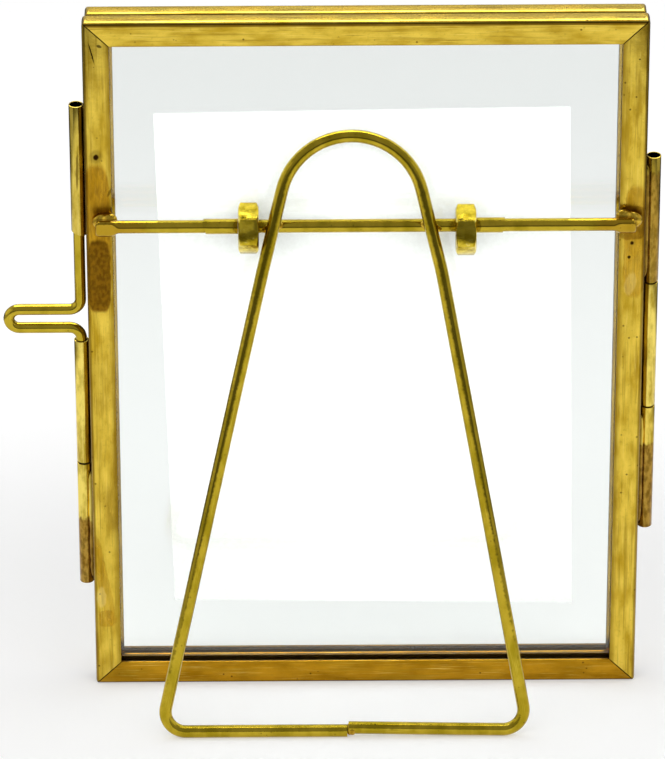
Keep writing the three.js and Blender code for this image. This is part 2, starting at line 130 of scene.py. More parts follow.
def mark(
    tree, leaf_mm, centre, half, wobble=0.25, wobble_size=1.2, edge=0.12, turn=0.0, blunt=False
):
    """Share of an oval mark, or a blunt-ended one, of half-sizes half at centre (x and z mm), edge wavy."""
    ragged = add(
        tree, "ShaderNodeTexNoise", {"Vector": leaf_mm, "Scale": 1 / wobble_size, "Detail": 2.0}
    )
    push = add(
        tree,
        "ShaderNodeVectorMath",
        {0: ragged.outputs[1], 1: (0.5, 0.5, 0.5)},
        operation="SUBTRACT",
    )
    pushed = {0: push.outputs[0], 1: (2 * wobble,) * 3, 2: leaf_mm}
    bent = add(tree, "ShaderNodeVectorMath", pushed, operation="MULTIPLY_ADD").outputs[0]
    span = {
        "Vector": bent,
        "Location": (centre[0], 0, centre[1]),
        "Rotation": (0, turn, 0),
        "Scale": (half[0], 1000, half[1]),
    }
    local = add(tree, "ShaderNodeMapping", span, vector_type="TEXTURE").outputs[0]
    if blunt:
        local = add(
            tree, "ShaderNodeVectorMath", {0: local, 1: local}, operation="MULTIPLY"
        ).outputs[0]
    reach = add(tree, "ShaderNodeVectorMath", {0: local}, operation="LENGTH").outputs["Value"]
    return between(tree, reach, 1 + edge, 1 - edge)


def ordered(tree, kind, first, second):
    """One sum on two values."""
    return add(tree, "ShaderNodeMath", {0: first, 1: second}, operation=kind).outputs[0]


# Marks on the rear leaf's side rails: (x, z), half-sizes, depth of colour, and turn, in leaf millimetres.
SCORCHED = "#4a2c06"
LEFT_HEAT = [((-41.75, 82.0), (2.1, 12.9), 0.8, 0.0), ((-41.55, 75.4), (1.75, 6.4), 0.85, 0.0)]
RIGHT_HEAT = [((41.9, 81.0), (1.7, 9.8), 0.55, 0.0), ((41.3, 84.4), (2.2, 3.0), 0.6, 0.0)]
LEFT_SCRATCHES = [
    ((-42.04, 114.4), (0.1, 1.8), 1.0, -0.234),
    ((-40.85, 115.6), (0.4, 0.25), 0.8, 0.3),
    ((-41.7, 96.4), (0.42, 0.5), 1.0, 0.2),
    ((-41.7, 96.5), (0.95, 1.15), 0.35, 0.2),
    ((-39.6, 90.4), (0.2, 1.0), 0.7, 0.45),
]
LEFT_SWEEP = [((-42.0, 19.5), (0.9, 8.5), 0.4, -0.16), ((-41.6, 12.4), (1.2, 1.5), 0.45, 0.0)]
RIGHT_PITS = [((41.44, 80.8), (0.3, 0.32), 0.95, 0.0), ((41.03, 78.3), (0.26, 0.28), 0.95, 0.0)]
LEFT_WORN = [((-42.35, 16.4), (0.75, 1.9), 0.3, 0.0)]
RIGHT_WORN = [((41.3, 73.5), (0.9, 2.0), 0.2, 0.2)]
MITRE_IN = RAIL_FACE / 2
# Painted shade in the folds and at the inner edge, standing in for the dark reflection under each fold and the
# shade along the edges: where and how wide each fold line is, and how deep, then how wide and how deep the
# inner-edge darkening is.
EDGE_LINES = {"top": (0.5, 0.34, 0.85, 0.25, 0.5), "bottom": (0.1, 0.4, 0.9, 0.5, 0.35)}
SIDE_EDGE_LINES = (0.1, 0.5, 0.6, 1.0, 0.6)


LEAF_DEPTH = 3.0
LEAF_GAP = 0.1
SHEET = 0.5


def channel_inside(tree, leaf_mm, rear_face):
    """Share of the inside of the folded channels, from the rear face's depth: behind no sheet's outside."""
    x, y, z = add(tree, "ShaderNodeSeparateXYZ", {0: leaf_mm}).outputs
    middle = rear_face + LEAF_DEPTH / 2
    half = LEAF_DEPTH / 2 - SHEET * 0.7
    walls = (
        (x, 0, LEAF_WIDTH / 2 - SHEET * 0.6),
        (y, middle, half),
        (z, LEAF_HEIGHT / 2, LEAF_HEIGHT / 2 - SHEET * 0.6),
    )
    share = None
    for value, centre, reach in walls:
        away = ordered(tree, "ABSOLUTE", ordered(tree, "SUBTRACT", value, centre), 0)
        within = ordered(tree, "LESS_THAN", away, reach)
        share = within if share is None else ordered(tree, "MULTIPLY", share, within)
    return share


def rail_brass(name, lengthwise, rear_face, heat, scratches, worn, low, high, mitres, edge_lines):
    """Sheet brass, rubbed lengthwise and lacquer-free: a warm yellow metal, soft-glossy, with olive clouds
    of tarnish, fine rubbing lines, scattered pits and, where the torch went, brown heat colour."""
    material, tree, shader, leaf_mm = start_material(name)
    clouds_size = {"x": (6.0, 2.2, 2.2), "z": (2.2, 2.2, 6.0)}[lengthwise]
    clouds = grain(tree, leaf_mm, clouds_size, 3.0, 0.5)
    drifts = grain(tree, leaf_mm, (15.0, 15.0, 15.0), 2.0, shift=(2, 5, 8))
    blots = grain(tree, leaf_mm, (0.55, 0.55, 0.55), 4.0, shift=(3, 7, 1))
    lines_size = {"x": (8.0, 0.2, 0.2), "z": (0.2, 0.2, 8.0)}[lengthwise]
    rub = grain(tree, leaf_mm, lines_size, 4.0, 0.65)
    bands_size = {"x": (16.0, 0.7, 0.7), "z": (0.7, 0.7, 16.0)}[lengthwise]
    bands = grain(tree, leaf_mm, bands_size, 2.0, shift=(6, 1, 1))
    colour = shade(tree, linear(low), linear(high), between(tree, clouds, 0.22, 0.7))
    colour = shade(tree, colour, linear("#96781a"), between(tree, drifts, 0.5, 0.7, 0.0, 0.3))
    colour = shade(tree, colour, linear("#8c6c1a"), between(tree, blots, 0.56, 0.74, 0.0, 0.35))
    colour = shade(tree, colour, linear("#9a7a1c"), between(tree, bands, 0.52, 0.68, 0.0, 0.5))
    colour = shade(tree, colour, linear("#f6de74"), between(tree, rub, 0.54, 0.74, 0.0, 0.5))
    colour = shade(tree, colour, linear("#7d6118"), between(tree, rub, 0.44, 0.3, 0.0, 0.5))
    pits = add(tree, "ShaderNodeTexVoronoi", {"Vector": leaf_mm, "Scale": 0.55}).outputs["Distance"]
    pit_share = between(tree, pits, 0.12, 0.05)
    colour = shade(tree, colour, linear(SCORCHED), ordered(tree, "MULTIPLY", pit_share, 0.8))
    rough = between(tree, clouds, 0.3, 0.7, 0.24, 0.13)
    stain = grain(tree, leaf_mm, (0.5, 0.5, 2.4), 4.0, 0.6)
    worms = grain(tree, leaf_mm, (0.55, 0.55, 0.9), 2.0, 0.5, shift=(8, 8, 3))
    for order, (centre, half, depth, turn) in enumerate(heat):
        share = ordered(
            tree, "MULTIPLY", mark(tree, leaf_mm, centre, half, turn=turn, blunt=True), depth
        )
        burnt = shade(tree, linear("#8c5e08"), linear("#c08e16"), between(tree, stain, 0.3, 0.68))
        if order == 1:
            burnt = shade(
                tree, linear("#5a3a06"), linear("#835a0e"), between(tree, worms, 0.36, 0.66)
            )
        colour = shade(tree, colour, burnt, share)
        rough = ordered(tree, "ADD", rough, ordered(tree, "MULTIPLY", share, 0.14))
    for centre, half, depth, turn in scratches:
        share = mark(tree, leaf_mm, centre, half, 0.08, 0.5, 0.3, turn)
        colour = shade(tree, colour, linear("#2a1604"), ordered(tree, "MULTIPLY", share, depth))
    for end, side in [(end, side) for end in mitres for side in (-1, 1)]:
        at = (side * (LEAF_WIDTH / 2 - MITRE_IN), end * LEAF_HEIGHT + (1 - 2 * end) * MITRE_IN)
        share = mark(
            tree, leaf_mm, at, (0.1, 4.0), 0.03, 0.6, 0.4, side * (2 * end - 1) * math.pi / 4
        )
        colour = shade(tree, colour, linear("#3a2408"), ordered(tree, "MULTIPLY", share, 0.85))
    x, y, z = add(tree, "ShaderNodeSeparateXYZ", {0: leaf_mm}).outputs
    if lengthwise == "z":
        from_edge = ordered(tree, "SUBTRACT", LEAF_WIDTH / 2, ordered(tree, "ABSOLUTE", x, 0))
    elif mitres == (1,):
        from_edge = ordered(tree, "SUBTRACT", LEAF_HEIGHT, z)
    else:
        from_edge = z
    # Painted shade: a dark line along each fold, and a darker strip at the rail's inner edge.
    line_at, line_half, line_depth, rim_wide, rim_depth = edge_lines
    from_line = ordered(tree, "ABSOLUTE", ordered(tree, "SUBTRACT", from_edge, line_at), 0)
    painted_fold_shade = between(tree, from_line, line_half, line_half * 0.5, 0.0, line_depth)
    colour = shade(tree, colour, linear("#5a3c02"), painted_fold_shade)
    rim = between(tree, from_edge, RAIL_FACE - rim_wide, RAIL_FACE, 0.0, rim_depth)
    colour = shade(tree, colour, linear("#7a5a0a"), rim)
    for centre, half, depth, turn in worn:
        share = mark(tree, leaf_mm, centre, half, 0.25, 1.0, 0.2, turn)
        colour = shade(tree, colour, linear("#f7e08a"), ordered(tree, "MULTIPLY", share, depth))
    # Painted shade over some real tarnish: the inside of each channel is darkened almost to black.
    inside = channel_inside(tree, leaf_mm, rear_face)
    colour = shade(tree, colour, linear("#1d1206"), ordered(tree, "MULTIPLY", inside, 0.93))
    rough = ordered(tree, "ADD", rough, ordered(tree, "MULTIPLY", inside, 0.25))
    waves = grain(tree, leaf_mm, (5.0, 5.0, 5.0), 1.0, shift=(9, 2, 4))
    dimples = grain(tree, leaf_mm, (1.3, 1.3, 1.3), 2.0, shift=(1, 3, 5))
    height = ordered(
        tree, "ADD", ordered(tree, "MULTIPLY", waves, 0.05), ordered(tree, "MULTIPLY", rub, 0.007)
    )
    height = ordered(tree, "ADD", height, ordered(tree, "MULTIPLY", dimples, 0.012))
    height = ordered(tree, "SUBTRACT", height, ordered(tree, "MULTIPLY", pit_share, 0.01))
    bump = add(tree, "ShaderNodeBump", {"Height": height, "Distance": MM, "Strength": 1.0})
    for name_in, value in {
        "Base Color": colour, "Roughness": rough, "Normal": bump.outputs[0]
    }.items():
        tree.links.new(value, shader.inputs[name_in])
    shader.inputs["Metallic"].default_value = 1.0
    return material


BURR = 0.13
FOLD_ANGLE = math.radians(35)


def dressed_copy(node_name, burr, steps=2):
    """A merged copy of a CAD node's mesh with its sharp edges eased by burr mm."""
    source = frame["nodes"][node_name]
    shell = bmesh.new()
    shell.from_mesh(source.data)
    bmesh.ops.remove_doubles(shell, verts=shell.verts, dist=1e-7)
    flat = math.radians(0.6)
    bmesh.ops.dissolve_limit(shell, angle_limit=flat, verts=shell.verts, edges=shell.edges)
    mesh = bpy.data.meshes.new(node_name + "_dressed")
    shell.to_mesh(mesh)
    shell.free()
    piece = bpy.data.objects.new(node_name + "_dressed", mesh)
    bpy.context.scene.collection.objects.link(piece)
    easing = piece.modifiers.new("eased edges", "BEVEL")
    easing.width = burr * MM
    easing.segments = steps
    easing.limit_method = "ANGLE"
    easing.angle_limit = FOLD_ANGLE
    easing.use_clamp_overlap = True
    return as_mesh(piece)


def as_mesh(piece):
    """Fixes a piece's modifiers into its mesh, smooth but for its sharp edges."""
    bpy.context.view_layer.update()
    evaluated = piece.evaluated_get(bpy.context.evaluated_depsgraph_get())
    mesh = bpy.data.meshes.new_from_object(evaluated)
    piece.modifiers.clear()
    piece.data = mesh
    mesh.shade_smooth()
    mesh.set_sharp_from_angle(angle=FOLD_ANGLE)
    return piece


def hand_over(piece, body, slot, material, *nodes):
    """Gives a piece its finish and its body, and hides the CAD nodes it stands for."""
    piece.data.materials.clear()
    piece.data.materials.append(material)
    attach(piece, body)
    if nodes:
        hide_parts(*nodes)
    return piece


for leaf in ("rear", "front"):
    for side in ("bottom", "top", "left", "right"):
        node_name = f"{leaf}_rail_{side}"
        lengthwise = "x" if side in ("bottom", "top") else "z"
        heat = {
            "rear_rail_left": LEFT_HEAT + LEFT_SWEEP, "rear_rail_right": RIGHT_HEAT
        }.get(node_name, ())
        scratches = {
            "rear_rail_left": LEFT_SCRATCHES, "rear_rail_right": RIGHT_PITS
        }.get(node_name, ())
        # The bottom rails get darker, browner base colours: painted shade, standing in for the shadowed table they
        # reflect.
        low, high = ("#94690a", "#bb8a1c") if side == "bottom" else ("#b8951e", "#e8c94e")
        worn = {"rear_rail_left": LEFT_WORN, "rear_rail_right": RIGHT_WORN}.get(node_name, ())
        mitres = {"bottom": (0,), "top": (1,)}.get(side, (0, 1))
        edge_lines = EDGE_LINES.get(side, SIDE_EDGE_LINES)
        rear_face = 0.0 if leaf == "rear" else LEAF_DEPTH + LEAF_GAP
        name = f"rubbed_sheet_brass_{leaf}_{side}"
        finish = rail_brass(
            name, lengthwise, rear_face, heat, scratches, worn, low, high, mitres, edge_lines
        )
        rail = dressed_copy(node_name, BURR)
        hand_over(rail, f"{leaf}_leaf", "rail_brass", finish, node_name)

# ---------------------------------------------------------------- the panes and the print
# Two plain float-glass panes with ground edges slide into the channels before the last rail goes on.
# The white back of a print, on uncoated card, is held between them.


def float_glass(name):
    """Clear float glass: colourless head on, faintly green through its edges, mirror-smooth."""
    material, tree, shader, leaf_mm = start_material(name)
    shader.inputs["Base Color"].default_value = linear("#fbfdfc")
    shader.inputs["Transmission Weight"].default_value = 1.0
    shader.inputs["IOR"].default_value = 1.52
    smears = grain(tree, leaf_mm, (14.0, 14.0, 9.0), 4.0)
    tree.links.new(between(tree, smears, 0.4, 0.8, 0.0, 0.02), shader.inputs["Roughness"])
    lamp_light = add(tree, "ShaderNodeBsdfTransparent", {"Color": linear("#f2f4f3")})
    ray = add(tree, "ShaderNodeLightPath")
    ends = tree.nodes["Material Output"]
    pass_lamps = add(
        tree,
        "ShaderNodeMixShader",
        {0: ray.outputs["Is Shadow Ray"], 1: shader.outputs[0], 2: lamp_light.outputs[0]},
    )
    tree.links.new(pass_lamps.outputs[0], ends.inputs["Surface"])
    return material


def card_paper(name):
    """Uncoated white card: matt, very slightly warm, with a faint cloudy fibre."""
    material, tree, shader, leaf_mm = start_material(name)
    fibre = grain(tree, leaf_mm, (0.5, 0.5, 0.5), 5.0, 0.7)
    colour = shade(tree, linear("#f6f6f4"), linear("#fdfdfc"), between(tree, fibre, 0.35, 0.65))
    tree.links.new(colour, shader.inputs["Base Color"])
    tree.links.new(between(tree, fibre, 0.3, 0.7, 0.72, 0.82), shader.inputs["Roughness"])
    bump = add(tree, "ShaderNodeBump", {"Height": fibre, "Distance": 0.01 * MM, "Strength": 0.6})
    tree.links.new(bump.outputs[0], shader.inputs["Normal"])
    shader.inputs["IOR"].default_value = 1.47
    return material


def refinish(node_name, material):
    """Gives a CAD node, whose shape is right as it is, its finish."""
    slots = frame["nodes"][node_name].data.materials
    slots.clear()
    slots.append(material)


pane_glass = float_glass("clear_float_glass")
refinish("rear_glass", pane_glass)
refinish("front_glass", pane_glass)


MEETING = LEAF_DEPTH + LEAF_GAP / 2


def new_piece(name, shell):
    """An object in leaf millimetres placed in the row frame."""
    bmesh.ops.recalc_face_normals(shell, faces=shell.faces)
    mesh = bpy.data.meshes.new(name)
    shell.to_mesh(mesh)
    shell.free()
    mesh.transform(LEAF)
    piece = bpy.data.objects.new(name, mesh)
    bpy.context.scene.collection.objects.link(piece)
    return piece


# The print's corners, (x, z): it was cut by hand, a little out of square.
CARD_CORNERS = [(-32.8, 102.65), (31.55, 103.45), (33.3, 13.6), (-30.65, 14.5)]
CARD_THICKNESS = 0.5
CARD_EASING = 0.06


def cut_card(name):
    """A sheet of card cut to its four corners, its edges slightly soft, between the two leaves."""
    shell = bmesh.new()
    back = MEETING - CARD_THICKNESS / 2
    sheet = shell.faces.new([shell.verts.new((x, back, z)) for x, z in CARD_CORNERS])
    grown = bmesh.ops.extrude_face_region(shell, geom=[sheet])["geom"]
    front = [v for v in grown if isinstance(v, bmesh.types.BMVert)]
    bmesh.ops.translate(shell, verts=front, vec=(0, CARD_THICKNESS, 0))
    card = new_piece(name, shell)
    easing = card.modifiers.new("soft edges", "BEVEL")
    easing.width = CARD_EASING * MM
    easing.segments = 2
    return as_mesh(card)


print_card = cut_card("picture_card_cut")
hand_over(print_card, "rear_leaf", "card_paper", card_paper("uncoated_white_card"), "picture_card")

# ---------------------------------------------------------------- the hinge and latch tubes
# Thin drawn brass tubes are soldered along the leaves' outer corners, three to the hinge on the right
# and three to the latch on the left. Their sawn ends are open, and the torch browned the lowest ones.

TUBE_OUTER = 2.3
TUBE_BORE = 1.9
TUBE_LENGTH = 22.1
LATCH_TOP_TUBE_LENGTH = 22.5
LATCH_TOP_TUBE_SLANT = 0.7
TUBE_SIDE_GAP = 0.05
TUBE_ACROSS = LEAF_WIDTH / 2 + TUBE_SIDE_GAP + TUBE_OUTER / 2
LIP_ROUND = 0.07
LATHE_SIDES = 48


def lathe(shell, profile, turn, sides=LATHE_SIDES):
    """Turns a closed profile of (radius, height) about z, then places it with turn."""
    rings = []
    for side in range(sides):
        angle = 2 * math.pi * side / sides
        ring = [shell.verts.new((r * math.cos(angle), r * math.sin(angle), h)) for r, h in profile]
        rings.append(ring)
    made = [v for ring in rings for v in ring]
    for side in range(sides):
        here, beyond = rings[side], rings[(side + 1) % sides]
        for i in range(len(profile)):
            j = (i + 1) % len(profile)
            shell.faces.new((here[i], beyond[i], beyond[j], here[j]))
    bmesh.ops.remove_doubles(shell, verts=made, dist=1e-6)
    bmesh.ops.transform(shell, matrix=turn, verts=[v for v in made if v.is_valid])


def tube_profile(inner, outer, length, lip=LIP_ROUND):
    """A tube's wall with its four lips rounded."""
    corners = [(inner, 0, 1, 1), (outer, 0, -1, 1), (outer, length, -1, -1), (inner, length, 1, -1)]
    profile = []
    for index, (r, h, dr, dh) in enumerate(corners):
        one, two = (r, h + dh * lip), (r + dr * lip, h)
        mid = (r + dr * lip * 0.3, h + dh * lip * 0.3)
        profile += [one, mid, two] if index in (0, 2) else [two, mid, one]
    return profile


def tube_brass(name, browned=(), tone="#e2c85c", marks=(), side=0):
    """Drawn brass tube: paler and brighter than the sheet, with drawing lines along it, a thin olive film,
    and brown heat colour from one height to another."""
    material, tree, shader, leaf_mm = start_material(name)
    drawn = grain(tree, leaf_mm, (0.18, 0.18, 12.0), 3.0)
    film = grain(tree, leaf_mm, (1.5, 1.5, 4.0), 4.0, shift=(5, 0, 2))
    colour = shade(tree, linear("#b0952a"), linear(tone), between(tree, film, 0.3, 0.62))
    colour = shade(tree, colour, linear("#f6e07c"), between(tree, drawn, 0.5, 0.75, 0.0, 0.5))
    height = add(tree, "ShaderNodeSeparateXYZ", {0: leaf_mm}).outputs[2]
    cloud = grain(tree, leaf_mm, (0.6, 0.6, 1.2), 4.0, shift=(1, 1, 8))
    for low, high, depth in browned:
        ragged = add(
            tree, "ShaderNodeMath", {0: cloud, 1: 2.4, 2: height}, operation="MULTIPLY_ADD"
        ).outputs[0]
        above = between(tree, ragged, low + 0.8, low + 1.6)
        below = between(tree, ragged, high + 1.6, high + 0.8)
        share = ordered(tree, "MULTIPLY", ordered(tree, "MULTIPLY", above, below), depth)
        burnt = shade(tree, linear("#6d4a10"), linear("#a98335"), between(tree, cloud, 0.35, 0.65))
        colour = shade(tree, colour, burnt, share)
    for centre, half, depth, turn in marks:
        share = mark(tree, leaf_mm, centre, half, 0.1, 0.8, 0.3, turn)
        colour = shade(tree, colour, linear("#6d5818"), ordered(tree, "MULTIPLY", share, depth))
    if side:
        from_axis = {0: leaf_mm, 1: (side * TUBE_ACROSS, MEETING, 0)}
        offset = add(tree, "ShaderNodeVectorMath", from_axis, operation="SUBTRACT").outputs[0]
        flat = add(
            tree, "ShaderNodeVectorMath", {0: offset, 1: (1, 1, 0)}, operation="MULTIPLY"
        ).outputs[0]
        reach = add(tree, "ShaderNodeVectorMath", {0: flat}, operation="LENGTH").outputs["Value"]
        # Painted shade: the tube is darkened where it meets the rail, in the gap between them.
        across = add(tree, "ShaderNodeSeparateXYZ", {0: leaf_mm}).outputs[0]
        painted_gap_shade = between(
            tree,
            ordered(tree, "ABSOLUTE", across, 0),
            LEAF_WIDTH / 2 + 0.5,
            LEAF_WIDTH / 2 + 0.15,
            0.0,
            0.7,
        )
        colour = shade(tree, colour, linear("#4d3508"), painted_gap_shade)
        # Painted shade: the inner wall of the bore is darkened nearly to black, so the open ends look deep.
        colour = shade(
            tree,
            colour,
            linear("#0b0703"),
            between(tree, reach, TUBE_BORE / 2 + 0.08, TUBE_BORE / 2 + 0.02),
        )
    dents = grain(tree, leaf_mm, (2.0, 2.0, 6.0), 2.0, shift=(0, 4, 4))
    bump = add(
        tree,
        "ShaderNodeBump",
        {"Height": ordered(tree, "MULTIPLY", dents, 0.03), "Distance": MM, "Strength": 1.0},
    )
    tree.links.new(colour, shader.inputs["Base Color"])
    tree.links.new(between(tree, film, 0.3, 0.7, 0.2, 0.12), shader.inputs["Roughness"])
    tree.links.new(bump.outputs[0], shader.inputs["Normal"])
    shader.inputs["Metallic"].default_value = 1.0
    return material


def tube_foot(node_name):
    """Height up the leaf of a CAD node's lowest point."""
    return min((LEAF.inverted() @ v.co).z for v in frame["nodes"][node_name].data.vertices)


SOLDER_WIDE = 0.5
SOLDER_STATIONS = 60


def solder_run(shell, across, depth, low, high, wide, seed):
    """A run of solder in the corner between a tube and its rail, uneven along its length."""
    sides = 12
    rings = []
    for station in range(SOLDER_STATIONS + 1):
        share = station / SOLDER_STATIONS
        z = low + (high - low) * share
        ends = math.sqrt(max(0.02, 1 - (2 * share - 1) ** 10))
        swell = 1 + 0.06 * math.sin(1.1 * z + seed) + 0.03 * math.sin(2.3 * z + 2 * seed)
        r = wide * ends * swell
        ring = []
        for side in range(sides):
            angle = 2 * math.pi * side / sides
            ring.append(
                shell.verts.new(
                    (across + r * math.cos(angle), depth + 0.8 * r * math.sin(angle), z)
                )
            )
        rings.append(ring)
    for here, beyond in zip(rings, rings[1:]):
        for side in range(sides):
            other = (side + 1) % sides
            shell.faces.new((here[side], here[other], beyond[other], beyond[side]))
    shell.faces.new(rings[0])
    shell.faces.new(rings[-1])


TUBES = {
    "hinge_tube_upper": (1, "rear_leaf", [(72, 92.0, 0.75)], "#cfb448", []),
    "hinge_tube_middle": (1, "front_leaf", [], "#f0d868", []),
    "hinge_tube_lower": (1, "rear_leaf", [(20, 43.2, 0.9)], "#e8cc5a", []),
    "latch_tube_upper": (
        -1, "front_leaf", [], "#d8be50", [((-44.7, 93.0), (0.22, 3.2), 0.8, 0.03)]
    ),
    "latch_tube_middle": (-1, "front_leaf", [], "#f0d868", []),
    "latch_tube_lower": (-1, "rear_leaf", [(10, 30.0, 0.9)], "#f0d868", []),
}
for seed, (tube_name, (side, body, browned, tone, marks)) in enumerate(TUBES.items()):
    is_top_latch = tube_name == "latch_tube_upper"
    length = LATCH_TOP_TUBE_LENGTH if is_top_latch else TUBE_LENGTH
    foot = tube_foot(tube_name) + (LATCH_TOP_TUBE_SLANT / 2 if is_top_latch else 0)
    shell = bmesh.new()
    axis = Matrix.Translation((side * TUBE_ACROSS, MEETING, foot))
    lathe(shell, tube_profile(TUBE_BORE / 2, TUBE_OUTER / 2, length), axis)
    if is_top_latch:
        for v in shell.verts:
            if v.co.z < foot + length / 2:
                v.co.z -= LATCH_TOP_TUBE_SLANT * (v.co.x - side * TUBE_ACROSS) / TUBE_OUTER
    behind = -1 if body == "rear_leaf" else 1
    corner = side * (LEAF_WIDTH / 2 + 0.1)
    solder_run(
        shell, corner, MEETING + behind * 1.15, foot + 1.2, foot + length - 1.2, SOLDER_WIDE, seed
    )
    tube = new_piece(tube_name + "_drawn", shell)
    finish = tube_brass("drawn_tube_brass_" + tube_name, browned, tone, marks, side)
    hand_over(as_mesh(tube), body, "tube_brass", finish, tube_name)

# ---------------------------------------------------------------- bent wires: easel, latch pin, hinge pin
# Hard round brass wire is bent cold round pegs: the easel in one piece with its two ends butted and
# soldered in the foot, the latch pin with a flat finger loop, and the straight hinge pin and spindle.


def bent_wire_tree():
    """Rounds the corners of a chain of points by each point's own bend, and sweeps a round wire along it."""
    tree = bpy.data.node_groups.new("bent wire", "GeometryNodeTree")
    face = tree.interface
    face.new_socket("Corners", in_out="INPUT", socket_type="NodeSocketGeometry")
    for name in ("Wire Diameter", "Station Spacing", "Hand Waver"):
        face.new_socket(name, in_out="INPUT", socket_type="NodeSocketFloat")
    face.new_socket("Sides", in_out="INPUT", socket_type="NodeSocketInt")
    face.new_socket("Seed", in_out="INPUT", socket_type="NodeSocketInt")
    face.new_socket("Brass", in_out="INPUT", socket_type="NodeSocketMaterial")
    face.new_socket("Wire", in_out="OUTPUT", socket_type="NodeSocketGeometry")
    given = add(tree, "NodeGroupInput").outputs
    line = add(tree, "GeometryNodeMeshToCurve", {"Mesh": given["Corners"]}).outputs[0]
    bend = add(
        tree, "GeometryNodeInputNamedAttribute", {"Name": "bend"}, data_type="FLOAT"
    ).outputs[0]
    rounded = add(
        tree, "GeometryNodeFilletCurve", {"Curve": line, "Count": 24, "Radius": bend}, mode="POLY"
    ).outputs[0]
    spaced = add(
        tree,
        "GeometryNodeResampleCurve",
        {"Curve": rounded, "Length": given["Station Spacing"]},
        mode="LENGTH",
    ).outputs[0]
    place = add(tree, "GeometryNodeInputPosition").outputs[0]
    seeded = add(
        tree, "ShaderNodeVectorMath", {0: place, "Scale": 70.0}, operation="SCALE"
    ).outputs[0]
    waver = add(
        tree,
        "ShaderNodeTexNoise",
        {"Vector": seeded, "W": given["Seed"], "Scale": 1.0, "Detail": 1.0},
        noise_dimensions="4D",
    ).outputs[1]
    centred = add(
        tree, "ShaderNodeVectorMath", {0: waver, 1: (0.5, 0.5, 0.5)}, operation="SUBTRACT"
    ).outputs[0]
    offset = add(
        tree, "ShaderNodeVectorMath", {0: centred, "Scale": given["Hand Waver"]}, operation="SCALE"
    ).outputs[0]
    drawn = add(tree, "GeometryNodeSetPosition", {"Geometry": spaced, "Offset": offset}).outputs[0]
    run = add(tree, "GeometryNodeSplineParameter").outputs
    marked = add(
        tree,
        "GeometryNodeStoreNamedAttribute",
        {"Geometry": drawn, "Name": "along", "Value": run["Length"]},
        data_type="FLOAT",
        domain="POINT",
    ).outputs[0]
    radius = add(
        tree, "ShaderNodeMath", {0: given["Wire Diameter"], 1: 0.5}, operation="MULTIPLY"
    ).outputs[0]
    circle = add(
        tree, "GeometryNodeCurvePrimitiveCircle", {"Resolution": given["Sides"], "Radius": radius}
    ).outputs[0]
    turn = add(tree, "GeometryNodeSplineParameter").outputs
    ring = add(
        tree,
        "GeometryNodeStoreNamedAttribute",
        {"Geometry": circle, "Name": "around", "Value": turn["Factor"]},
        data_type="FLOAT",
        domain="POINT",
    ).outputs[0]
    swept = add(
        tree, "GeometryNodeCurveToMesh", {"Curve": marked, "Profile Curve": ring, "Fill Caps": True}
    ).outputs[0]
    real = add(tree, "GeometryNodeRealizeInstances", {"Geometry": swept}).outputs[0]
    brassed = add(
        tree, "GeometryNodeSetMaterial", {"Geometry": real, "Material": given["Brass"]}
    ).outputs[0]
    add(tree, "NodeGroupOutput", {"Wire": brassed})
    return tree


BENT_WIRE = bent_wire_tree()
STATION_SPACING = 0.35
WIRE_SIDES = 32


def bent_wire(name, corners, diameter, brass, place, waver=0.0, seed=1):
    """A wire through corners, each ((x, y, z) mm, bend radius mm), swept and placed by a matrix."""
    mesh = bpy.data.meshes.new(name)
    chain = [(i, i + 1) for i in range(len(corners) - 1)]
    mesh.from_pydata([[c * MM for c in at] for at, _ in corners], chain, [])
    bends = mesh.attributes.new("bend", "FLOAT", "POINT")
    bends.data.foreach_set("value", [radius * MM for _, radius in corners])
    piece = bpy.data.objects.new(name, mesh)
    bpy.context.scene.collection.objects.link(piece)
    sweep = piece.modifiers.new("bent wire", "NODES")
    sweep.node_group = BENT_WIRE
    sizes = {
        "Wire Diameter": diameter * MM, "Station Spacing": STATION_SPACING * MM, "Hand Waver": waver * MM,
        "Sides": WIRE_SIDES, "Seed": seed, "Brass": brass,
    }
    for item in BENT_WIRE.interface.items_tree:
        if item.name in sizes:
            sweep[item.identifier] = sizes[item.name]
    made = as_mesh(piece)
    made.data.transform(place)
    return made


